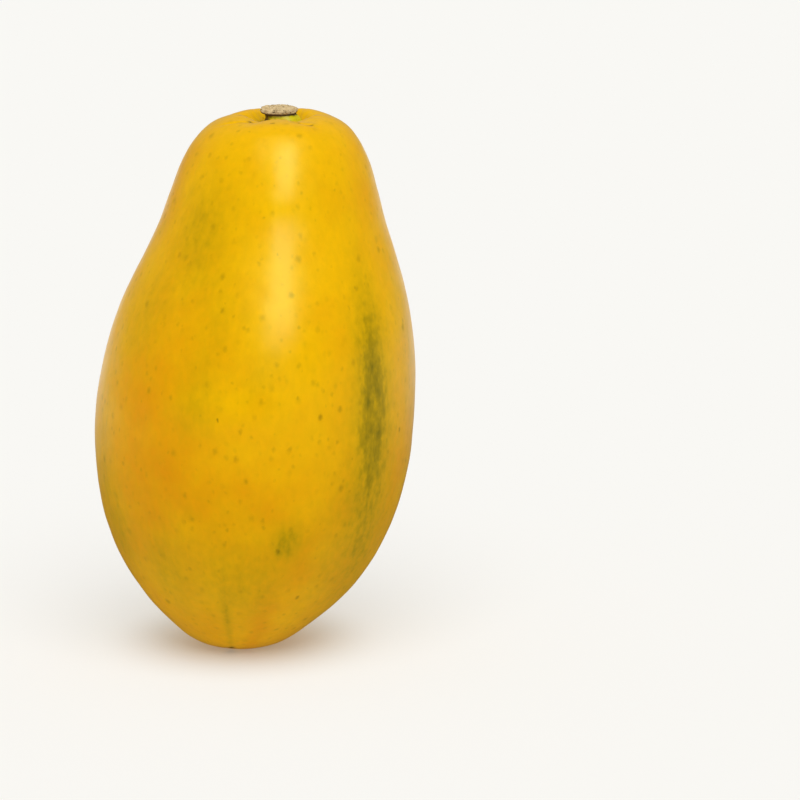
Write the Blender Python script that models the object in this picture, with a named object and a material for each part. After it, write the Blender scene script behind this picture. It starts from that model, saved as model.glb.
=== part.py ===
"""A whole ripe papaya that stands on the small flat spot at its blossom end.

Two pieces: the fruit itself, and the dried stub of its stalk, which sits in the hollow of the crown.
Metres, +Z up. The origin is the centre of the flat spot, the front is -Y, and the crown leans to +X.
"""

import math

import bmesh
import bpy
from mathutils import Vector, noise
from mathutils.geometry import interpolate_bezier

MM = 0.001

# The fruit's side outline, from the flat spot up over the shoulder and down into the hollow of the
# crown: height, half width and how far the ring's centre has leaned to +X, all in millimetres.
FRUIT_OUTLINE = [
    (0.0, 11.0, 0.0),
    (1.8, 16.0, -0.5),
    (8.0, 24.1, 0.0),
    (21.5, 37.1, 2.0),
    (41.5, 48.0, 3.0),
    (62.0, 53.2, 4.1),
    (82.0, 54.3, 5.2),
    (101.0, 52.7, 6.9),
    (119.0, 49.1, 8.6),
    (134.0, 43.5, 10.4),
    (147.0, 38.2, 11.5),
    (160.0, 34.2, 12.3),
    (169.5, 30.7, 12.8),
    (176.5, 26.5, 13.3),
    (181.3, 21.4, 13.7),
    (183.7, 15.9, 13.9),
    (183.7, 12.0, 13.9),
    (181.6, 9.4, 14.1),
    (179.3, 6.2, 14.4),
]
FRUIT_DEPTH_SHARE = 0.97  # depth over width of a ring
RING_POINTS = 72
STEPS_BETWEEN_ROWS = 3

# The five seed chambers show as five soft lobes, with a crease between each two.
LOBES = 5
FRONT_LOBE_ANGLE = math.radians(-90)
BODY_LOBE_SHARE = 0.007
CROWN_CREASE_DEPTH = 1.2 * MM
CROWN_CREASE_REACH = 6.0 * MM
CROWN_HEIGHT = 184.0 * MM
CROWN_RIM_RADIUS = 13.5 * MM
CREASE_SHARPNESS = 1.6

# Slow unevenness of a grown thing.
WAVE_HEIGHT = 0.45 * MM
WAVE_LENGTH = 38.0 * MM
FLAT_SPOT_CALM = 12.0 * MM  # the waves fade out below this height, so the flat spot stays flat

# The stalk's stub: height, half width and lean, in millimetres, from its foot in the hollow up
# the green neck and round the wider, corky broken end.
STUB_OUTLINE = [
    (179.7, 5.0, 15.0),
    (181.0, 5.7, 15.1),
    (182.5, 5.6, 14.9),
    (183.6, 5.3, 14.4),
    (184.1, 5.6, 13.9),
    (184.6, 6.2, 13.7),
    (185.4, 6.1, 13.6),
    (185.9, 5.3, 13.6),
    (186.0, 3.0, 13.6),
]
STUB_DEPTH_SHARE = 0.84
STUB_POINTS = 40
STUB_STEPS = 2
STUB_TILT = math.radians(6)  # the broken end faces a little to the front
STUB_RAGGEDNESS = 0.35 * MM
STUB_RAG_LENGTH = 3.5 * MM

HANDLE_SHARE = 0.39  # length of a smooth curve's handle over the gap between its two points


def smooth_rows(rows, steps):
    """The rows, with steps - 1 more in each gap, on a smooth curve through them, in metres."""
    points = [Vector(row) * MM for row in rows]
    directions = []
    for before, here, after in zip(points[:1] + points, points, points[1:] + points[-1:]):
        directions.append(((after - here).normalized() + (here - before).normalized()).normalized())
    smooth = []
    for i, (start, end) in enumerate(zip(points, points[1:])):
        reach = (end - start).length * HANDLE_SHARE
        leaving = start + directions[i] * reach
        arriving = end - directions[i + 1] * reach
        smooth += interpolate_bezier(start, leaving, arriving, end, steps + 1)[:-1]
    return smooth + points[-1:]


def crease_at(angle):
    """1 in the middle of a crease between two lobes, 0 in the middle of a lobe."""
    turned = LOBES * (angle - FRONT_LOBE_ANGLE)
    return ((1 - math.cos(turned)) / 2) ** CREASE_SHARPNESS


def fruit_point(angle, height, half_width, lean):
    """A point of the fruit's surface, with its lobes, the creases of the crown and the slow waves."""
    lobe = math.cos(LOBES * (angle - FRONT_LOBE_ANGLE))
    radius = half_width * (1 + BODY_LOBE_SHARE * lobe)
    outward = Vector((math.cos(angle), FRUIT_DEPTH_SHARE * math.sin(angle), 0))
    point = Vector((lean, 0, height)) + outward * radius

    calm = min(height / FLAT_SPOT_CALM, 1.0)
    point += outward * WAVE_HEIGHT * calm * noise.noise(point / WAVE_LENGTH)

    rim_gap = math.hypot(half_width - CROWN_RIM_RADIUS, height - CROWN_HEIGHT)
    near_rim = math.exp(-((rim_gap / CROWN_CREASE_REACH) ** 2))
    point.z -= CROWN_CREASE_DEPTH * crease_at(angle) * near_rim
    return point


def stub_point(angle, height, half_width, lean):
    """A point of the stub's surface: an oval, ragged and tilted at the broken end."""
    outward = Vector((math.cos(angle), STUB_DEPTH_SHARE * math.sin(angle), 0))
    point = Vector((lean, 0, height)) + outward * half_width
    up_share = (height - STUB_OUTLINE[0][0] * MM) / ((STUB_OUTLINE[-1][0] - STUB_OUTLINE[0][0]) * MM)
    point += outward * STUB_RAGGEDNESS * up_share * noise.noise(point / STUB_RAG_LENGTH)
    point.z += point.y * math.tan(STUB_TILT) * up_share
    return point


def loft(bm, rows, points_round, place):
    """Bridges one ring of points to the next, row by row, and closes both ends with a flat face."""
    rings = []
    for height, half_width, lean in rows:
        ring = bmesh.ops.create_circle(bm, segments=points_round, radius=1)["verts"]
        for vert in ring:
            vert.co = place(math.atan2(vert.co.y, vert.co.x), height, half_width, lean)
        edges = {edge for vert in ring for edge in vert.link_edges}
        if rings:
            bmesh.ops.bridge_loops(bm, edges=rings[-1] + list(edges))
        rings.append(list(edges))
    for end in (rings[0], rings[-1]):
        bmesh.ops.edgeloop_fill(bm, edges=end)
    bmesh.ops.recalc_face_normals(bm, faces=bm.faces)


def finish_material(name, colour, roughness):
    material = bpy.data.materials.new(name)
    material.use_nodes = True
    shader = material.node_tree.nodes["Principled BSDF"]
    shader.inputs["Base Color"].default_value = (*colour, 1)
    shader.inputs["Roughness"].default_value = roughness
    shader.inputs["Metallic"].default_value = 0
    material.diffuse_color = (*colour, 1)
    return material


def add_piece(name, rows, points_round, place, material):
    bm = bmesh.new()
    loft(bm, rows, points_round, place)
    mesh = bpy.data.meshes.new(name)
    bm.to_mesh(mesh)
    bm.free()
    mesh.shade_smooth()
    mesh.set_sharp_from_angle(angle=math.radians(50))
    mesh.materials.append(material)
    piece = bpy.data.objects.new(name, mesh)
    bpy.context.scene.collection.objects.link(piece)
    return piece


def clear_scene():
    for old in list(bpy.data.objects):
        bpy.data.objects.remove(old)


def main():
    clear_scene()
    skin = finish_material("ripe_skin", (0.78, 0.46, 0.02), 0.42)
    cork = finish_material("dried_stalk", (0.46, 0.36, 0.2), 0.85)
    fruit_rows = smooth_rows(FRUIT_OUTLINE, STEPS_BETWEEN_ROWS)
    add_piece("papaya_fruit", fruit_rows, RING_POINTS, fruit_point, skin)
    stub_rows = smooth_rows(STUB_OUTLINE, STUB_STEPS)
    add_piece("stem_stub", stub_rows, STUB_POINTS, stub_point, cork)


main()
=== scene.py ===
import math

import bmesh
import bpy
import numpy as np
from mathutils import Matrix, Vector, noise


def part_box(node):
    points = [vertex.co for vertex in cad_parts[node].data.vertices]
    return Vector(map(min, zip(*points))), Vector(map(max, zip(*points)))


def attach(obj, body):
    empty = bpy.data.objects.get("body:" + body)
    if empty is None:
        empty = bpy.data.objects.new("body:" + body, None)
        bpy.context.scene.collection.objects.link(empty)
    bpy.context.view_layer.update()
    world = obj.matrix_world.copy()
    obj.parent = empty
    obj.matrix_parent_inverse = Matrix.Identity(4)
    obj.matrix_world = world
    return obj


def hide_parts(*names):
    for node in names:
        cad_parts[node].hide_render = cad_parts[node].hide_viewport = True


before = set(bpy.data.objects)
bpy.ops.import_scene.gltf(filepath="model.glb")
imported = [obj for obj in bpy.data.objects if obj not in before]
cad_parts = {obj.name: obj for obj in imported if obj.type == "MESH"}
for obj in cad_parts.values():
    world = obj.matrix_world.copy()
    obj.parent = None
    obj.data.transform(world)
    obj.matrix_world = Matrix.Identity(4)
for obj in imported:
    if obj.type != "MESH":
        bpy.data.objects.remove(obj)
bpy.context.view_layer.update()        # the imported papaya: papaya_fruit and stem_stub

fruitLow, fruitHigh = (Vector(corner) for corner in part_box("papaya_fruit"))
stubLow, stubHigh = (Vector(corner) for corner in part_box("stem_stub"))

mm = 0.001


def showMesh(name, bm, material):
    mesh = bpy.data.meshes.new(name)
    bm.to_mesh(mesh)
    bm.free()
    mesh.shade_smooth()
    mesh.materials.append(material)
    piece = bpy.data.objects.new(name, mesh)
    bpy.context.scene.collection.objects.link(piece)
    return piece


def inFixedOrder(bm):
    # the same points and faces, in an order that doesn't vary from run to run
    points = sorted(bm.verts, key=lambda vert: tuple(vert.co))
    number = {vert: rank for rank, vert in enumerate(points)}
    loops = []
    for face in bm.faces:
        corners = [number[vert] for vert in face.verts]
        start = corners.index(min(corners))
        loops.append(corners[start:] + corners[:start])
    ordered = bmesh.new()
    made = [ordered.verts.new(vert.co) for vert in points]
    for corners in sorted(loops):
        ordered.faces.new([made[corner] for corner in corners])
    bm.free()
    return ordered


def bakeModifiers(piece):
    # the modifiers' result becomes the piece's own mesh
    evaluated = piece.evaluated_get(bpy.context.evaluated_depsgraph_get())
    mesh = bpy.data.meshes.new_from_object(evaluated)
    piece.modifiers.clear()
    piece.data = mesh


def readPoints(mesh):
    flat = np.empty(len(mesh.vertices) * 3)
    mesh.vertices.foreach_get("co", flat)
    return flat.reshape(-1, 3)


def readNormals(mesh):
    flat = np.empty(len(mesh.vertices) * 3)
    mesh.vertex_normals.foreach_get("vector", flat)
    return flat.reshape(-1, 3)


def writePoints(mesh, points):
    mesh.vertices.foreach_set("co", points.ravel())
    mesh.update()


def noiseAt(points, size, seed=0.0):
    # smooth noise between -1 and 1, one value for each point, with lumps of about the given size
    shift = Vector((seed, seed * 1.7, seed * 0.6))
    return np.array([noise.noise(Vector(point) / size + shift) for point in points])


def paintLayer(mesh, name, values):
    layer = mesh.attributes.new(name, "FLOAT", "POINT")
    layer.data.foreach_set("value", np.clip(values, 0.0, 1.0).astype(np.float32))


def smoothStep(low, high, value):
    share = np.clip((value - low) / (high - low), 0.0, 1.0)
    return share * share * (3 - 2 * share)


def fillInputs(tree, node, values):
    # a socket is linked, and anything else is set
    for key, value in values.items():
        if isinstance(value, bpy.types.NodeSocket):
            tree.links.new(value, node.inputs[key])
        else:
            node.inputs[key].default_value = value


def addNode(tree, kind, inputs=None, **settings):
    node = tree.nodes.new(kind)
    for key, value in settings.items():
        setattr(node, key, value)
    fillInputs(tree, node, inputs or {})
    return node


def maths(tree, operation, first, second=0.0, clamp=False):
    node = addNode(tree, "ShaderNodeMath", {0: first, 1: second}, operation=operation, use_clamp=clamp)
    return node.outputs[0]


def mixColours(tree, factor, first, second):
    node = addNode(tree, "ShaderNodeMix", {0: factor, 6: first, 7: second}, data_type="RGBA",
                   clamp_factor=True)
    return node.outputs[2]


def mapRange(tree, value, low, high, outLow=0.0, outHigh=1.0, smooth=True):
    return addNode(tree, "ShaderNodeMapRange", {0: value, 1: low, 2: high, 3: outLow, 4: outHigh},
                   interpolation_type="SMOOTHSTEP" if smooth else "LINEAR").outputs[0]


def layerValue(tree, name):
    return addNode(tree, "ShaderNodeAttribute", attribute_name=name).outputs["Fac"]


def newGroup(name, inputs, outputs):
    tree = bpy.data.node_groups.new(name, "ShaderNodeTree")
    for label, kind, value in inputs:
        socket = tree.interface.new_socket(name=label, in_out="INPUT", socket_type=kind)
        if value is not None:
            socket.default_value = value
    for label, kind in outputs:
        tree.interface.new_socket(name=label, in_out="OUTPUT", socket_type=kind)
    return tree, tree.nodes.new("NodeGroupInput"), tree.nodes.new("NodeGroupOutput")


def useGroup(tree, group, **values):
    node = tree.nodes.new("ShaderNodeGroup")
    node.node_tree = group
    fillInputs(tree, node, values)
    return node.outputs[0]


def drawOut(tree, given):
    # the group's place, squashed upwards, so that what is laid on it looks stretched
    squash = addNode(tree, "ShaderNodeCombineXYZ",
                     {0: 1.0, 1: 1.0, 2: maths(tree, "DIVIDE", 1.0, given.outputs["Stretch"])})
    return addNode(tree, "ShaderNodeVectorMath", {0: given.outputs["Vector"], 1: squash.outputs[0]},
                   operation="MULTIPLY").outputs[0]


mottle = {
    "roughness": 0.55,
    "contrast": (0.25, 0.75),
}

speckShape = {
    "wobble": (900.0, 1.0, 0.9 * mm),     # the outline's unevenness: scale, detail, amount
    "smallest": 0.45,                     # dot, as a share of the largest
    "faintest": 0.4,
}


def buildMottle():
    # cloudy unevenness, about 0 to 1 with 0.5 in the middle
    tree, given, result = newGroup(
        "mottle",
        [("Vector", "NodeSocketVector", None), ("Size", "NodeSocketFloat", 0.01),
         ("Stretch", "NodeSocketFloat", 1.0), ("Detail", "NodeSocketFloat", 2.0)],
        [("Value", "NodeSocketFloat")])
    cloud = addNode(tree, "ShaderNodeTexNoise", {
        "Vector": drawOut(tree, given), "Scale": maths(tree, "DIVIDE", 1.0, given.outputs["Size"]),
        "Detail": given.outputs["Detail"], "Roughness": mottle["roughness"]})
    spread = mapRange(tree, cloud.outputs[0], *mottle["contrast"], smooth=False)
    tree.links.new(spread, result.inputs["Value"])
    return tree


def buildSpecks():
    # round dots with soft edges. Each one has its own size and strength, and Share of them show
    tree, given, result = newGroup(
        "specks",
        [("Vector", "NodeSocketVector", None), ("Spacing", "NodeSocketFloat", 0.003),
         ("Size", "NodeSocketFloat", 0.001), ("Share", "NodeSocketFloat", 0.5),
         ("Softness", "NodeSocketFloat", 0.6), ("Stretch", "NodeSocketFloat", 1.0)],
        [("Mask", "NodeSocketFloat")])
    drawn = drawOut(tree, given)
    scale, detail, amount = speckShape["wobble"]
    wobble = addNode(tree, "ShaderNodeTexNoise", {"Vector": drawn, "Scale": scale, "Detail": detail})
    offset = addNode(tree, "ShaderNodeVectorMath", {0: wobble.outputs["Color"], 1: (0.5, 0.5, 0.5)},
                     operation="SUBTRACT")
    small = addNode(tree, "ShaderNodeVectorMath", {0: offset.outputs[0], 3: amount}, operation="SCALE")
    moved = addNode(tree, "ShaderNodeVectorMath", {0: drawn, 1: small.outputs[0]}, operation="ADD")
    cells = addNode(tree, "ShaderNodeTexVoronoi", {
        "Vector": moved.outputs[0], "Scale": maths(tree, "DIVIDE", 1.0, given.outputs["Spacing"])})
    lot = addNode(tree, "ShaderNodeSeparateColor", {0: cells.outputs["Color"]})
    distance = maths(tree, "MULTIPLY", cells.outputs["Distance"], given.outputs["Spacing"])
    sizeShare = mapRange(tree, lot.outputs[1], 0.0, 1.0, speckShape["smallest"], 1.0, smooth=False)
    radius = maths(tree, "MULTIPLY", maths(tree, "MULTIPLY", given.outputs["Size"], 0.5), sizeShare)
    inner = maths(tree, "MULTIPLY", radius, maths(tree, "SUBTRACT", 1.0, given.outputs["Softness"]))
    dot = mapRange(tree, distance, inner, radius, 1.0, 0.0)
    shown = maths(tree, "LESS_THAN", lot.outputs[0], given.outputs["Share"])
    paleness = mapRange(tree, lot.outputs[2], 0.0, 1.0, speckShape["faintest"], 1.0, smooth=False)
    strength = maths(tree, "POWER", paleness, 2.0)
    mask = maths(tree, "MULTIPLY", maths(tree, "MULTIPLY", dot, shown), strength)
    tree.links.new(mask, result.inputs["Mask"])
    return tree


mottleGroup = buildMottle()
speckGroup = buildSpecks()
print("shared node groups built")

fruit = {
    "levels": 2,
    "lumps": [(9 * mm, 0.13 * mm), (4 * mm, 0.045 * mm)],   # size and height of the small unevenness
    "lumpsFrom": (0.3 * mm, 5 * mm),    # the flat spot stays flat
    "meridianRadius": 40 * mm,
    "rimRadius": 13.2 * mm,
    "crownFrom": (16 * mm, 5 * mm),     # below the top: where the crown's shaping starts and is full
    "wanderSize": 5 * mm,               # how folds and dried marks stray
    # creases out of the hollow: angle at the rim, depth, width, how far past the rim, turn in degrees
    # for each mm outwards, and where their dark line, dried skin with painted crease shade, starts and ends
    "folds": [
        (-34, 0.90 * mm, 0.80 * mm, 11 * mm, -3.8, (11.5 * mm, 17 * mm)),
        (27, 0.85 * mm, 0.80 * mm, 10 * mm, 2.0, (11.5 * mm, 14.5 * mm)),
        (106, 0.55 * mm, 1.1 * mm, 7 * mm, 1.0, (8 * mm, 13 * mm)),
        (176, 0.60 * mm, 1.0 * mm, 6 * mm, -0.8, (8 * mm, 14 * mm)),
        (-112, 0.50 * mm, 1.1 * mm, 7 * mm, -1.2, (8 * mm, 13 * mm)),
        (-8, 0.18 * mm, 0.8 * mm, 6 * mm, 0.5, None),
        (62, 0.30 * mm, 0.8 * mm, 6 * mm, 0.8, None),
        (-78, 0.25 * mm, 0.8 * mm, 5 * mm, 0.4, None),
        (141, 0.20 * mm, 0.8 * mm, 5 * mm, 0.4, None),
        (-146, 0.24 * mm, 0.8 * mm, 5 * mm, 0.4, None),
    ],
    "foldsFrom": (4 * mm, 9 * mm),      # how far from the stalk they start and are full
    "foldsWander": 3.0,                 # in degrees
    "foldsSmooth": 1.0 * mm,
    "lineWidth": 0.60 * mm,
    "lineEnds": (2 * mm, 1 * mm),
    # short dark marks, dried skin with painted crease shade: angle, how far out, half length across and
    # half width outwards
    "dashes": [
        (-36, 13.4 * mm, 1.7 * mm, 0.55 * mm),
        (29, 14.4 * mm, 1.2 * mm, 0.85 * mm),
        (38, 18.8 * mm, 1.3 * mm, 0.35 * mm),
        (-3, 16.5 * mm, 0.8 * mm, 0.35 * mm),
        (-96, 17 * mm, 1.0 * mm, 0.35 * mm),
    ],
    "dashesWander": 0.4 * mm,
    # the front lobe leans towards the stalk: inwards, upwards, reach round in degrees, place and reach
    "swelling": (2.2 * mm, -0.5 * mm, 48, 13 * mm, 4.5 * mm),
    # dried skin and painted shade under the cap's overhang, left of the neck: place, reach, strength
    "driedAndShadedPatch": (-7.8 * mm, 0.5 * mm, 2.8 * mm, 1.6 * mm, 0.80),
    "wrinkles": (26, 0.10 * mm),        # fine radial ones in the hollow: how many and how deep
    "wrinklesTo": (8 * mm, 15 * mm),
    # blossom scar at the front edge of the flat spot: across, height, reach, its longer reach
    # across, depth
    "scarPit": (-3.4 * mm, 1.1 * mm, 0.85 * mm, 1.6, 0.8 * mm),
    "scarFrom": (0.2 * mm, 0.8 * mm),
    "greenRoundStalk": (7 * mm, 13 * mm, 0.35),
    "scarAndShadeRoundStalk": (5.5 * mm, 8.5 * mm, 0.7),
    "scarOfDriedAndShade": 0.80,
    "scarOfPit": (0.3, 0.8, 0.9),
}

# Where the skin has other colours than its golden yellow, painted shade on its right side among them,
# and where its wax is dull. Each patch: degrees round from the front towards +X, height, reach round in
# degrees, reach in height, strength.
ripeningAndPaintedShade = {
    "green": [
        (-37, 150, 16, 13, 0.42),
        (-30, 134, 10, 9, 0.20),
        (-16, 122, 8, 16, 0.18),
        (-22, 100, 7, 14, 0.18),
        (-52, 122, 12, 16, 0.26),
        (-20, 92, 9, 8, 0.16),
        (3, 105, 6, 8, 0.16),
        (-68, 70, 8, 40, 0.22),
        (-60, 46, 8, 14, 0.34),
        (-36, 36, 12, 16, 0.34),
        (-10, 34, 16, 20, 0.24),
        (8, 32, 12, 14, 0.28),
        (17, 48, 6, 7, 0.55),
        (-9, 16, 2.5, 16, 0.34),
        (35, 40, 9, 30, 0.22),
        # these five: the real green streak down the right side, made darker with painted shade
        (48, 122, 8, 22, 0.32),
        (49, 104, 9, 20, 0.38),
        (50, 84, 10, 22, 0.57),
        (51, 58, 11, 22, 0.40),
        (58, 32, 14, 24, 0.36),
        (76, 110, 10, 34, 0.25),
        (112, 60, 22, 30, 0.45),
        (150, 130, 20, 26, 0.30),
        (170, 45, 24, 26, 0.50),
        (-150, 90, 16, 34, 0.28),
        (-115, 38, 18, 20, 0.45),
        (-105, 140, 18, 16, 0.25),
    ],
    "orange": [
        (-44, 92, 26, 50, 0.50),
        (0, 40, 60, 50, 0.22),
        (-42, 98, 10, 12, 0.25),
        (-32, 76, 14, 15, 0.42),
        (-44, 52, 12, 12, 0.35),
        (-14, 62, 14, 12, 0.30),
        (-24, 122, 10, 14, 0.20),
        (8, 62, 18, 16, 0.30),
        (24, 40, 7, 13, 0.60),
        (12, 16, 8, 18, 0.50),
        (-22, 12, 12, 9, 0.35),
        # these two: darker orange at the lower right, painted shade
        (44, 58, 12, 22, 0.50),
        (54, 30, 14, 18, 0.45),
        (34, 108, 8, 22, 0.22),
        (62, 158, 12, 16, 0.35),
        (66, 66, 10, 30, 0.40),
        (-72, 165, 12, 14, 0.40),
        (-66, 30, 16, 22, 0.35),
        (85, 90, 20, 40, 0.30),
        (130, 95, 24, 30, 0.50),
        (-170, 70, 30, 40, 0.50),
        (-120, 90, 24, 30, 0.45),
        (160, 165, 30, 12, 0.35),
    ],
    "dull": [
        (8, 157, 16, 4.5, 0.85),
        (-2, 170, 5, 9, 0.45),
        (20, 112, 7, 9, 0.40),
        (2, 96, 12, 6, 0.50),
        (-35, 80, 24, 30, 0.25),
        (70, 120, 18, 12, 0.50),
        (120, 150, 16, 8, 0.60),
        (-110, 115, 18, 9, 0.60),
        (180, 100, 22, 10, 0.50),
    ],
}

skinLook = {
    "yellow": (0.86, 0.466, 0.0, 1),
    "orange": (0.76, 0.295, 0.0, 1),
    "olive": (0.50, 0.31, 0.0, 1),
    "green": (0.15, 0.118, 0.0, 1),
    "speck": (0.37, 0.215, 0.0, 1),
    "darkSpeck": (0.17, 0.092, 0.0, 1),
    "scarAndPaintedShade": (0.075, 0.04, 0.012, 1),
    "clouds": {"size": 13 * mm, "detail": 3.0},
    "cloudsInOrange": 0.45,
    "flecks": {"size": 2.4 * mm, "stretch": 1.6, "detail": 2.0},
    "streaks": {"size": 2.2 * mm, "stretch": 8.0, "detail": 3.0},
    "flecksInOlive": 0.16,
    "broken": (0.38, 0.40),        # how much streaks and flecks break up the green
    "oliveTo": 0.75,               # the layer's value where the olive is full
    "greenFrom": (0.45, 1.35),     # and where the deep green starts and is full
    # spacing, size, share that shows, softness, stretch, strength
    "blotches": (9.0 * mm, 8.5 * mm, 0.60, 1.0, 1.4, 0.26),
    "faintSpecks": (2.9 * mm, 2.7 * mm, 0.80, 1.0, 1.3, 0.42),
    "specks": (4.2 * mm, 3.5 * mm, 0.65, 1.0, 1.3, 0.66),
    "darkSpecks": (6.5 * mm, 2.9 * mm, 0.50, 0.9, 1.4, 0.70),
    "roughness": 0.31,
    "roughnessMore": (0.06, 0.12, 0.12, 0.35),    # with clouds, dullness, specks and scars
    "specular": 0.13,
    "specularTint": (0.75, 1.0, 0.0, 1),
    "coat": 0.115,
    "coatRoughness": 0.28,
    "grain": {"size": 1.1 * mm, "detail": 2.0},
    "relief": (0.25, 0.5, 0.5),    # of grain, flecks and specks
    "reliefHeight": 0.12 * mm,
    "reliefStrength": 0.5,
}


def placeSpecks(tree, place, name):
    spacing, size, share, softness, stretch, strength = skinLook[name]
    mask = useGroup(tree, speckGroup, Vector=place, Spacing=spacing, Size=size, Share=share,
                    Softness=softness, Stretch=stretch)
    return maths(tree, "MULTIPLY", mask, strength)


def placeMottle(tree, place, look):
    return useGroup(tree, mottleGroup, Vector=place, Size=look["size"], Stretch=look.get("stretch", 1.0),
                    Detail=look["detail"])


def swing(tree, value, amount):
    # a 0 to 1 value made to swing about zero
    return maths(tree, "MULTIPLY", maths(tree, "SUBTRACT", value, 0.5), amount)


def buildSkin():
    material = bpy.data.materials.new("ripeSkin")
    material.use_nodes = True
    tree = material.node_tree
    shader = tree.nodes["Principled BSDF"]
    place = addNode(tree, "ShaderNodeTexCoord").outputs["Object"]
    green, orange, dull, scarAndPaintedShade = (layerValue(tree, name) for name in ("green", "orange", "dull", "scarAndPaintedShade"))
    meridian = addNode(tree, "ShaderNodeAttribute", attribute_name="meridian").outputs["Vector"]
    clouds = placeMottle(tree, place, skinLook["clouds"])
    flecks = placeMottle(tree, place, skinLook["flecks"])
    streaks = placeMottle(tree, meridian, skinLook["streaks"])
    grain = placeMottle(tree, place, skinLook["grain"])

    # deep orange where the orange layer is strong, with cloudy edges
    orangeShare = maths(tree, "ADD", orange, swing(tree, clouds, skinLook["cloudsInOrange"]), clamp=True)
    colour = mixColours(tree, orangeShare, skinLook["yellow"], skinLook["orange"])

    # olive, then green where the green layer is strongest, broken up by streaks and flecks
    byStreaks, byFlecks = skinLook["broken"]
    broken = maths(tree, "ADD", swing(tree, streaks, byStreaks), swing(tree, flecks, byFlecks))
    greenShare = maths(tree, "MULTIPLY", green, maths(tree, "ADD", 1.0, broken))
    greenShare = maths(tree, "ADD", greenShare, maths(tree, "MULTIPLY", flecks, skinLook["flecksInOlive"]))
    oliveShare = mapRange(tree, greenShare, 0.0, skinLook["oliveTo"], smooth=False)
    colour = mixColours(tree, oliveShare, colour, skinLook["olive"])
    deepShare = mapRange(tree, greenShare, *skinLook["greenFrom"])
    colour = mixColours(tree, deepShare, colour, skinLook["green"])

    # soft blotches, fine specks and a few dark ones
    specks = placeSpecks(tree, place, "specks")
    colour = mixColours(tree, placeSpecks(tree, place, "blotches"), colour, skinLook["olive"])
    colour = mixColours(tree, placeSpecks(tree, place, "faintSpecks"), colour, skinLook["speck"])
    colour = mixColours(tree, specks, colour, skinLook["speck"])
    colour = mixColours(tree, placeSpecks(tree, place, "darkSpecks"), colour, skinLook["darkSpeck"])
    # dark scar colour: the blossom scar, dried skin, and painted shade in the crown's creases and hollow
    colour = mixColours(tree, scarAndPaintedShade, colour, skinLook["scarAndPaintedShade"])
    tree.links.new(colour, shader.inputs["Base Color"])

    # satin wax, duller in patches, on specks, on scars and on the painted shade round the crown
    gloss = skinLook["roughness"]
    for value, more in zip((clouds, dull, specks, scarAndPaintedShade), skinLook["roughnessMore"]):
        gloss = maths(tree, "ADD", gloss, maths(tree, "MULTIPLY", value, more), clamp=True)
    tree.links.new(gloss, shader.inputs["Roughness"])
    wax = maths(tree, "MULTIPLY", maths(tree, "SUBTRACT", 1.0, dull), skinLook["coat"])
    tree.links.new(wax, shader.inputs["Coat Weight"])
    shader.inputs["Specular IOR Level"].default_value = skinLook["specular"]
    shader.inputs["Specular Tint"].default_value = skinLook["specularTint"]
    shader.inputs["Coat Roughness"].default_value = skinLook["coatRoughness"]

    # a very low relief
    ofGrain, ofFlecks, ofSpecks = skinLook["relief"]
    height = maths(tree, "ADD", maths(tree, "MULTIPLY", grain, ofGrain),
                   maths(tree, "MULTIPLY", flecks, ofFlecks))
    height = maths(tree, "SUBTRACT", height, maths(tree, "MULTIPLY", specks, ofSpecks))
    bump = addNode(tree, "ShaderNodeBump", {"Height": height, "Distance": skinLook["reliefHeight"],
                                            "Strength": skinLook["reliefStrength"]})
    tree.links.new(bump.outputs[0], shader.inputs["Normal"])
    return material


rings = {
    "count": 47,
    "overlap": 0.75,       # half a ring's height, in steps between rings
}

meshing = {
    "weld": 0.002 * mm,
    "joinTriangles": (40, 80),          # the largest turn between two, and how skew the result may be
    "flatEndCorners": 20,               # a face with more is a flat end
    "flatEndInsets": (0.25, 0.35, 0.5),
}


def ringCentres(points):
    # the middle of the fruit at each height, because its axis leans
    heights = np.linspace(fruitLow.z, fruitHigh.z, rings["count"])
    half = (heights[1] - heights[0]) * rings["overlap"]
    middles, widths = [], []
    for height in heights:
        ring = points[np.abs(points[:, 2] - height) < half]
        low, high = ring[:, :2].min(axis=0), ring[:, :2].max(axis=0)
        middles.append((low + high) / 2)
        widths.append((high - low).mean() / 2)
    return heights, np.array(middles), np.array(widths)


def sideLengths(heights, widths):
    # how far each height is from the foot, measured along the fruit's side
    steps = np.hypot(np.diff(heights), np.diff(widths))
    return np.concatenate(([0.0], np.cumsum(steps)))


def angleFromFront(x, y):
    return np.degrees(np.arctan2(x, -y))


def turnBetween(angle, other):
    return (angle - other + 180.0) % 360.0 - 180.0


def smoothCopy(name, source, levels, material):
    bm = bmesh.new()
    bm.from_mesh(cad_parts[source].data)
    bmesh.ops.remove_doubles(bm, verts=bm.verts, dist=meshing["weld"])
    flatEnds = [face for face in bm.faces if abs(face.normal.z) > 0.9999]
    bmesh.ops.dissolve_faces(bm, faces=flatEnds, use_verts=False)
    turn, skew = (math.radians(angle) for angle in meshing["joinTriangles"])
    bmesh.ops.join_triangles(bm, faces=bm.faces, angle_face_threshold=turn, angle_shape_threshold=skew)
    for face in [face for face in bm.faces if len(face.verts) > meshing["flatEndCorners"]]:
        for share in meshing["flatEndInsets"]:
            width = share * math.sqrt(face.calc_area() / math.pi)
            bmesh.ops.inset_region(bm, faces=[face], thickness=width, depth=0.0, use_even_offset=True)
    piece = showMesh(name, bm, material)
    smoother = piece.modifiers.new("Subdivision", "SUBSURF")
    smoother.levels = levels
    smoother.render_levels = levels
    bakeModifiers(piece)
    return piece


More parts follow.
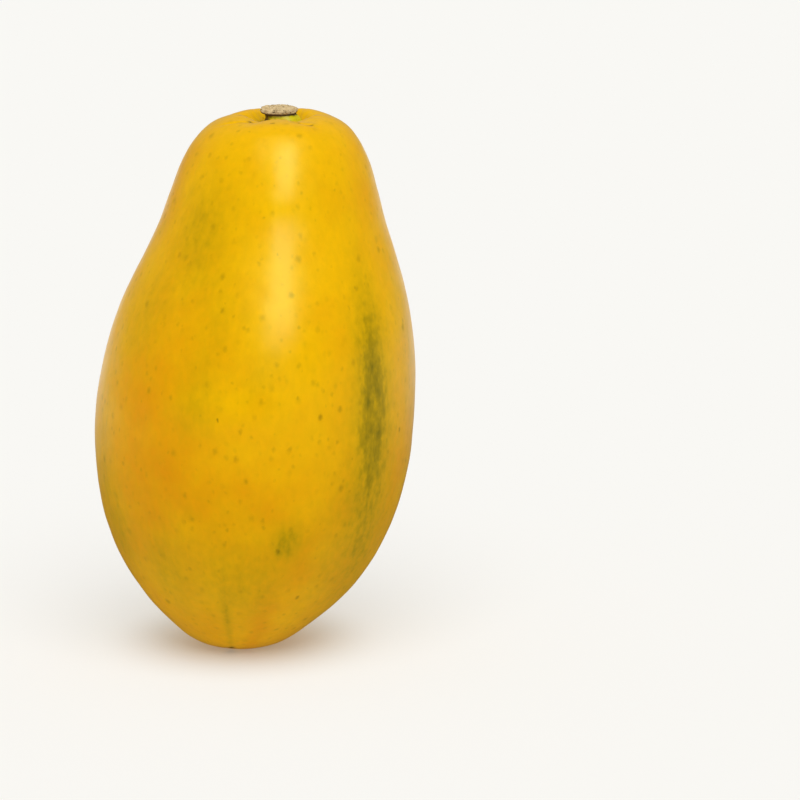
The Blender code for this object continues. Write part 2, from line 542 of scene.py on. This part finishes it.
def shapeFruit(piece):
    mesh = piece.data
    points = readPoints(mesh)
    normals = readNormals(mesh)
    rise = np.zeros(len(points))
    for seed, (size, tall) in enumerate(fruit["lumps"]):
        rise += tall * noiseAt(points, size, seed=3.0 + seed)
    rise *= smoothStep(*fruit["lumpsFrom"], points[:, 2])

    # the crown: how far each point is from the stalk, and which way round
    heights, middles, widths = ringCentres(points)
    axis = middles[-2]
    outX, outY = points[:, 0] - axis[0], points[:, 1] - axis[1]
    reach = np.hypot(outX, outY)
    bearing = angleFromFront(outX, outY)
    start, full = fruit["crownFrom"]
    nearCrown = smoothStep(fruitHigh.z - start, fruitHigh.z - full, points[:, 2])
    inwards, upwards, turnReach, place, wide = fruit["swelling"]
    swell = np.exp(-((bearing / turnReach) ** 2) - ((reach - place) / wide) ** 2) * nearCrown
    outX, outY = (out * (1 - inwards * swell / np.maximum(reach, 1 * mm)) for out in (outX, outY))
    points = np.column_stack((outX + axis[0], outY + axis[1], points[:, 2] + upwards * swell))
    reach = np.hypot(outX, outY)

    # folds that run out of the hollow and over the shoulder, some with a dark line of dried skin and
    # painted crease shade
    wander = noiseAt(points, fruit["wanderSize"], seed=9.0)
    driedAndPaintedShade = np.zeros(len(points))
    rim = fruit["rimRadius"]
    before, after = fruit["lineEnds"]
    for angle, depth, width, past, twist, line in fruit["folds"]:
        lead = angle + twist * (reach - rim) / mm + fruit["foldsWander"] * wander
        aside = np.radians(turnBetween(bearing, lead)) * reach
        fade = smoothStep(*fruit["foldsFrom"], reach)
        fade *= 1 - smoothStep(rim - fruit["foldsSmooth"], rim + past, reach)
        rise -= depth * np.exp(-((aside / width) ** 2)) * fade * nearCrown
        if line:
            start, end = line
            length = smoothStep(start - before, start, reach) * (1 - smoothStep(end - after, end, reach))
            thin = fruit["lineWidth"] * (1 + 0.5 * wander)
            driedAndPaintedShade = np.maximum(driedAndPaintedShade, np.exp(-((aside / thin) ** 2)) * length * nearCrown)
    # short dark marks: dried skin with painted crease shade
    for angle, out, across, outwards in fruit["dashes"]:
        aside = np.radians(turnBetween(bearing, angle)) * reach / across
        beyond = (reach - out - fruit["dashesWander"] * wander) / outwards
        driedAndPaintedShade = np.maximum(driedAndPaintedShade, np.exp(-(aside ** 4) - beyond ** 2) * nearCrown)
    count, deep = fruit["wrinkles"]
    inHollow = (1 - smoothStep(*fruit["wrinklesTo"], reach)) * nearCrown
    rise += deep * inHollow * np.sin(np.radians(bearing * count) + 2.5 * wander)

    # the small scar that the blossom left, at the front edge of the flat spot
    x, z, spread, longer, deep = fruit["scarPit"]
    gap = np.hypot((points[:, 0] - x) / longer, points[:, 2] - z)
    pit = np.exp(-((gap / spread) ** 2)) * (points[:, 1] < 0)
    rise -= deep * pit * smoothStep(*fruit["scarFrom"], points[:, 2])

    writePoints(mesh, points + normals * rise[:, None])

    middleX = np.interp(points[:, 2], heights, middles[:, 0])
    middleY = np.interp(points[:, 2], heights, middles[:, 1])
    turned = angleFromFront(points[:, 0] - middleX, points[:, 1] - middleY)
    # a place on the skin measured round the fruit and along its side, so streaks run from end to end
    wide = fruit["meridianRadius"]
    along = np.interp(points[:, 2], heights, sideLengths(heights, widths))
    radians = np.radians(turned)
    meridian = np.column_stack((wide * np.sin(radians), wide * np.cos(radians), along))
    layer = mesh.attributes.new("meridian", "FLOAT_VECTOR", "POINT")
    layer.data.foreach_set("vector", meridian.astype(np.float32).ravel())

    # colour layers
    for name, patches in ripeningAndPaintedShade.items():
        share = np.zeros(len(points))
        for angle, height, aroundReach, upReach, strength in patches:
            sideways = turnBetween(turned, angle) / aroundReach
            upwards = (points[:, 2] / mm - height) / upReach
            share += strength * np.exp(-(sideways ** 2) - upwards ** 2)
        if name == "green":
            full, end, most = fruit["greenRoundStalk"]
            share += most * (1 - smoothStep(full, end, reach)) * nearCrown
        paintLayer(mesh, name, share)
    # a dark patch left of the neck: painted shade under the cap's overhang, with dried skin
    x, y, wideReach, deepReach, strength = fruit["driedAndShadedPatch"]
    patch = np.exp(-((outX - x) / wideReach) ** 2 - ((outY - y) / deepReach) ** 2)
    driedAndPaintedShade = np.maximum(driedAndPaintedShade, strength * patch * (0.8 + 0.5 * wander) * nearCrown)
    # dark in the hollow round the stalk: dried scar with painted shade
    full, end, most = fruit["scarAndShadeRoundStalk"]
    hollowFloor = most * (1 - smoothStep(full, end, reach)) * nearCrown
    start, full, most = fruit["scarOfPit"]
    # the scar layer: dried marks and painted crease shade, the hollow floor, and the blossom scar
    scarAndPaintedShade = fruit["scarOfDriedAndShade"] * driedAndPaintedShade + hollowFloor * (0.6 + 0.5 * wander)
    paintLayer(mesh, "scarAndPaintedShade", scarAndPaintedShade + most * smoothStep(start, full, pit))


fruitPiece = smoothCopy("papayaFruit", "papaya_fruit", fruit["levels"], buildSkin())
shapeFruit(fruitPiece)
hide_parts("papaya_fruit")
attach(fruitPiece, "root")
print("fruit shaped:", len(fruitPiece.data.polygons), "faces")

stub = {
    "points": 144,
    "halfWidth": 6.2 * mm,
    "middleX": 14.1 * mm,
    "profile": [          # half width and height, as shares of the stub's
        (1.14, -0.10), (1.08, 0.06), (1.01, 0.22), (0.95, 0.36), (0.90, 0.48), (0.86, 0.58),
        (0.85, 0.625), (0.90, 0.655), (0.96, 0.685), (1.0, 0.74), (1.0, 0.80), (0.975, 0.86),
        (0.92, 0.90), (0.84, 0.925), (0.70, 0.935), (0.52, 0.93), (0.34, 0.92), (0.16, 0.925),
        (0.0, 0.93),
    ],
    "cuts": 2,
    "depthShare": 0.80,
    "tilt": 6.5,
    # heights and widths below are shares of the stub's, from where a thing starts to where it is full
    "capFrom": (0.60, 0.66),
    "topFrom": (0.86, 0.92),
    "neckFrom": (0.75, 0.35),
    "neckShift": 1.2 * mm,
    "neckRibs": (5, 0.04, 0.6),             # how many, how deep and where they begin
    # size and seed of the large, middling and small unevenness
    "noises": [(2.6 * mm, 1.0), (1.1 * mm, 5.0), (0.5 * mm, 8.0)],
    "ragged": (0.060, 0.065, 0.030),        # how much of each in the cap's outline
    "crumbled": (0.25 * mm, 0.22 * mm, 0.12 * mm),      # and on its top
    "edgeWave": 0.35 * mm,
    # painted shade in bark colour on the neck's left side and just under the cap, with dried bark
    "paintedShadeSide": (0.40, 0.80),
    "driedAndShadeUnderCap": (0.52, 0.62),
    "barkUnder": (0.58, 0.64, 0.70, 0.80),  # the last two are where it fades out again
    "barkRing": (0.90, 1.0),
    "barkRingFrom": (0.76, 0.86),
    "barkRingShare": 0.45,
}

stubLook = {
    "cork": (0.52, 0.36, 0.16, 1),
    "corkPale": (0.82, 0.64, 0.36, 1),
    "corkDark": (0.13, 0.075, 0.03, 1),
    "bark": (0.09, 0.048, 0.016, 1),
    "neck": (0.74, 0.64, 0.0, 1),
    "neckGreen": (0.60, 0.54, 0.0, 1),
    "patches": {"size": 2.0 * mm, "detail": 4.0},
    "grain": {"size": 0.6 * mm, "detail": 3.0},
    "grainInCork": 0.5,
    "grainAtEdge": 0.4,
    "corkEdge": (0.35, 0.65),
    "pits": (0.80 * mm, 1.05 * mm, 0.90, 0.5),    # spacing, size, share, softness
    "pitStrength": (0.90, 0.25),                  # on the cork and on the neck
    "barkLeast": (0.6, 0.55),                     # the same: its share where the patches are darkest
    "roughness": (0.45, 0.9),                     # of the neck and of the cork
    "specular": 0.15,
    "relief": 0.25 * mm,
    "reliefOnNeck": 0.25,
    "reliefOfPits": 0.8,
    "reliefStrength": 0.8,
}


def buildStubMaterial():
    material = bpy.data.materials.new("driedStalk")
    material.use_nodes = True
    tree = material.node_tree
    shader = tree.nodes["Principled BSDF"]
    place = addNode(tree, "ShaderNodeTexCoord").outputs["Object"]
    cork, edge, driedAndShaded = (layerValue(tree, name) for name in ("cork", "edge", "driedAndShaded"))
    patches = placeMottle(tree, place, stubLook["patches"])
    grain = placeMottle(tree, place, stubLook["grain"])
    spacing, size, share, softness = stubLook["pits"]
    pits = useGroup(tree, speckGroup, Vector=place, Spacing=spacing, Size=size, Share=share,
                    Softness=softness)
    pitsOnCork, pitsOnNeck = (maths(tree, "MULTIPLY", pits, share) for share in stubLook["pitStrength"])
    leastOnCork, leastOnNeck = stubLook["barkLeast"]

    # pale cork with pits and a dark rim
    uneven = maths(tree, "ADD", patches, swing(tree, grain, stubLook["grainInCork"]), clamp=True)
    top = mixColours(tree, uneven, stubLook["cork"], stubLook["corkPale"])
    top = mixColours(tree, pitsOnCork, top, stubLook["corkDark"])
    rim = maths(tree, "MULTIPLY", edge, maths(tree, "ADD", leastOnCork, patches), clamp=True)
    top = mixColours(tree, rim, top, stubLook["bark"])

    # yellow-green neck, dried to bark in places, with painted shade in bark colour on its left side and
    # under the cap
    below = mixColours(tree, patches, stubLook["neckGreen"], stubLook["neck"])
    below = mixColours(tree, pitsOnNeck, below, stubLook["corkDark"])
    barkAndShadeShare = maths(tree, "MULTIPLY", driedAndShaded, maths(tree, "ADD", leastOnNeck, patches))
    below = mixColours(tree, barkAndShadeShare, below, stubLook["bark"])

    corkEdge = maths(tree, "ADD", cork, swing(tree, grain, stubLook["grainAtEdge"]), clamp=True)
    colour = mixColours(tree, mapRange(tree, corkEdge, *stubLook["corkEdge"]), below, top)
    tree.links.new(colour, shader.inputs["Base Color"])
    tree.links.new(mapRange(tree, cork, 0.3, 0.7, *stubLook["roughness"]), shader.inputs["Roughness"])
    shader.inputs["Specular IOR Level"].default_value = stubLook["specular"]
    height = maths(tree, "SUBTRACT", grain, maths(tree, "MULTIPLY", pits, stubLook["reliefOfPits"]))
    height = maths(tree, "MULTIPLY", height, mapRange(tree, cork, 0.2, 0.8, stubLook["reliefOnNeck"], 1.0))
    bump = addNode(tree, "ShaderNodeBump", {"Height": height, "Distance": stubLook["relief"],
                                            "Strength": stubLook["reliefStrength"]})
    tree.links.new(bump.outputs[0], shader.inputs["Normal"])
    return material


def buildStub(material):
    tall = stubHigh.z - stubLow.z
    half = stub["halfWidth"]
    bm = bmesh.new()
    chain = [bm.verts.new((share * half, 0, up * tall)) for share, up in stub["profile"]]
    edges = [bm.edges.new(pair) for pair in zip(chain, chain[1:])]
    bmesh.ops.subdivide_edges(bm, edges=edges, cuts=stub["cuts"], smooth=0.0)
    bmesh.ops.spin(bm, geom=bm.verts[:] + bm.edges[:], axis=(0, 0, 1), cent=(0, 0, 0),
                   angle=math.tau, steps=stub["points"], use_merge=True)
    bmesh.ops.remove_doubles(bm, verts=bm.verts, dist=0.001 * mm)
    bottom = [edge for edge in bm.edges if edge.is_boundary]
    bmesh.ops.edgeloop_fill(bm, edges=bottom)
    bmesh.ops.recalc_face_normals(bm, faces=bm.faces)
    piece = showMesh("stemStub", inFixedOrder(bm), material)
    mesh = piece.data
    points = readPoints(mesh)
    up = points[:, 2] / tall
    reach = np.hypot(points[:, 0], points[:, 1]) / half
    bearing = np.arctan2(points[:, 1], points[:, 0])
    lumps, rags, crumbs = (noiseAt(points, size, seed) for size, seed in stub["noises"])
    isCap = smoothStep(*stub["capFrom"], up)
    onTop = smoothStep(*stub["topFrom"], up)
    large, middling, small = stub["ragged"]
    grow = 1 + isCap * (large * lumps + middling * rags + small * crumbs)
    count, deep, start = stub["neckRibs"]
    grow += (1 - isCap) * deep * np.sin(count * bearing + start)
    shaped = points.copy()
    shaped[:, 0] *= grow
    shaped[:, 1] *= grow * stub["depthShare"]
    large, middling, small = stub["crumbled"]
    shaped[:, 2] += onTop * (large * lumps + middling * rags + small * crumbs)
    shaped[:, 2] += isCap * (1 - onTop) * stub["edgeWave"] * rags

    # the cap leans to the front and sits a little left of its neck
    shaped[:, 0] += smoothStep(*stub["neckFrom"], up) * stub["neckShift"] + stub["middleX"]
    shaped[:, 2] += (shaped[:, 1] * math.tan(math.radians(stub["tilt"]))) * isCap + stubLow.z
    writePoints(mesh, shaped)

    # colour layers
    paintLayer(mesh, "cork", isCap)
    uneven = up + 0.05 * rags
    # painted shade on the neck's left side and under the cap, mixed with dried bark
    paintedShadeLeft = smoothStep(*stub["paintedShadeSide"], -points[:, 0] / half + 0.25 * rags)
    paintLayer(mesh, "driedAndShaded", np.maximum(paintedShadeLeft, smoothStep(*stub["driedAndShadeUnderCap"], uneven)))
    start, full, fades, end = stub["barkUnder"]
    under = smoothStep(start, full, up) * (1 - smoothStep(fades, end, uneven))
    ring = smoothStep(*stub["barkRing"], reach) * smoothStep(*stub["barkRingFrom"], up)
    paintLayer(mesh, "edge", under + stub["barkRingShare"] * ring * (0.7 + lumps))
    return piece


stubPiece = buildStub(buildStubMaterial())
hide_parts("stem_stub")
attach(stubPiece, "root")
print("stub shaped:", len(stubPiece.data.polygons), "faces")

studio = {
    "floorHalf": 6.0,
    "floorDrop": 0.05 * mm,
    "floor": (0.395, 0.394, 0.390, 1),
    # round the foot the floor glows less: a painted contact shadow
    "floorInPaintedShadow": (0.66, 0.652, 0.635, 1),      # close round the foot, where the shadow is deepest
    "floorGlow": (1.0, 0.99, 0.944, 1),
    "floorGlowStrength": 0.533,
    "floorGlowInPaintedShadow": 0.16,
    "floorBounceNear": 0.36,                   # the same, as it lights the underside of the fruit
    "paintedShadowReach": (12 * mm, 52 * mm),
    # what the wax reflects: from and to how far away, near and far brightness
    "floorInGloss": (0.15, 0.60, 0.06, 1.15),
    "backdrop": (0.947, 0.939, 0.905, 1),
    "fill": 0.515,
    "fillColour": (1.0, 0.99, 0.97, 1),
    "glossFill": 0.33,
    "sunStrength": 1.9,
    "sunTurn": 9.0,        # degrees from the front towards +X
    "sunHeight": 62.0,
    "sunSpread": 50.0,
    "boxTurn": 17.0,       # the softbox that shows in the wax
    "boxHeight": 41.0,
    "boxAway": 1.3,
    "boxSize": (0.52, 1.18),
    "boxPower": 30.0,
}

shot = {
    "lens": 145.03,
    "distance": 1.1,
    "elevation": 13.0,
    "right": 0.0494,        # of the middle of the fruit's box
    "height": 0.0855,
}


def buildFloor():
    # half of the floor's paleness is its own glow, so the shadow stays light; close to the foot the glow is
    # cut, which paints a deeper contact shadow
    material = bpy.data.materials.new("paleFloor")
    material.use_nodes = True
    tree = material.node_tree
    shader = tree.nodes["Principled BSDF"]
    place = addNode(tree, "ShaderNodeTexCoord").outputs["Object"]
    away = addNode(tree, "ShaderNodeVectorMath", {0: place}, operation="LENGTH").outputs["Value"]
    far = mapRange(tree, away, *studio["paintedShadowReach"])
    tree.links.new(mixColours(tree, far, studio["floorInPaintedShadow"], studio["floor"]), shader.inputs["Base Color"])
    ray = addNode(tree, "ShaderNodeLightPath")
    paintedShadowGlow = mapRange(tree, ray.outputs["Is Diffuse Ray"], 0.0, 1.0, studio["floorGlowInPaintedShadow"],
                        studio["floorBounceNear"])
    glow = mapRange(tree, far, 0.0, 1.0, paintedShadowGlow, studio["floorGlowStrength"], False)
    tree.links.new(glow, shader.inputs["Emission Strength"])
    shader.inputs["Emission Color"].default_value = studio["floorGlow"]
    shader.inputs["Roughness"].default_value = 1.0
    shader.inputs["Specular IOR Level"].default_value = 0.0
    shine = mapRange(tree, away, *studio["floorInGloss"])
    mirrored = addNode(tree, "ShaderNodeEmission", {"Color": studio["floorGlow"], "Strength": shine})
    mixed = addNode(tree, "ShaderNodeMixShader", {0: ray.outputs["Is Glossy Ray"], 1: shader.outputs[0],
                                                  2: mirrored.outputs[0]})
    tree.links.new(mixed.outputs[0], tree.nodes["Material Output"].inputs["Surface"])
    bm = bmesh.new()
    bmesh.ops.create_grid(bm, x_segments=1, y_segments=1, size=studio["floorHalf"])
    bmesh.ops.translate(bm, verts=bm.verts, vec=(0, 0, fruitLow.z - studio["floorDrop"]))
    floor = showMesh("floor", bm, material)


def buildWorld():
    world = bpy.data.worlds.new("studio")
    bpy.context.scene.world = world
    world.use_nodes = True
    tree = world.node_tree
    tree.nodes.clear()
    seen = addNode(tree, "ShaderNodeBackground", {"Color": studio["backdrop"], "Strength": 1.0})
    ray = addNode(tree, "ShaderNodeLightPath")
    strength = mapRange(tree, ray.outputs["Is Glossy Ray"], 0.0, 1.0, studio["fill"], studio["glossFill"])
    light = addNode(tree, "ShaderNodeBackground", {"Color": studio["fillColour"], "Strength": strength})
    mixed = addNode(tree, "ShaderNodeMixShader",
                    {0: ray.outputs["Is Camera Ray"], 1: light.outputs[0], 2: seen.outputs[0]})
    out = addNode(tree, "ShaderNodeOutputWorld")
    tree.links.new(mixed.outputs[0], out.inputs[0])


def fromFront(turn, height):
    turn, height = math.radians(turn), math.radians(height)
    return Vector((math.sin(turn) * math.cos(height), -math.cos(turn) * math.cos(height), math.sin(height)))


def aimAt(thing, place, target):
    thing.location = place
    thing.rotation_euler = (target - place).to_track_quat("-Z", "Y").to_euler()


def buildLights():
    middle = (fruitLow + fruitHigh) / 2
    sun = bpy.data.objects.new("softSun", bpy.data.lights.new("softSun", "SUN"))
    sun.data.energy = studio["sunStrength"]
    sun.data.angle = math.radians(studio["sunSpread"])
    aimAt(sun, middle + fromFront(studio["sunTurn"], studio["sunHeight"]) * 2, middle)
    softbox = bpy.data.objects.new("softbox", bpy.data.lights.new("softbox", "AREA"))
    softbox.data.shape = "RECTANGLE"
    softbox.data.size, softbox.data.size_y = studio["boxSize"]
    softbox.data.energy = studio["boxPower"]
    softbox.visible_diffuse = False
    aimAt(softbox, middle + fromFront(studio["boxTurn"], studio["boxHeight"]) * studio["boxAway"], middle)
    for light in (sun, softbox):
        bpy.context.scene.collection.objects.link(light)


def buildCamera():
    camera = bpy.data.objects.new("camera", bpy.data.cameras.new("camera"))
    camera.data.lens = shot["lens"]
    camera.data.sensor_width = 36.0
    target = Vector(((fruitLow.x + fruitHigh.x) / 2 + shot["right"], 0, fruitLow.z + shot["height"]))
    aimAt(camera, target + fromFront(0, shot["elevation"]) * shot["distance"], target)
    bpy.context.scene.collection.objects.link(camera)
    bpy.context.scene.camera = camera


buildFloor()
buildWorld()
buildLights()
buildCamera()
bpy.context.scene.view_settings.view_transform = "Standard"
bpy.context.scene.view_settings.look = "None"
print("studio built")
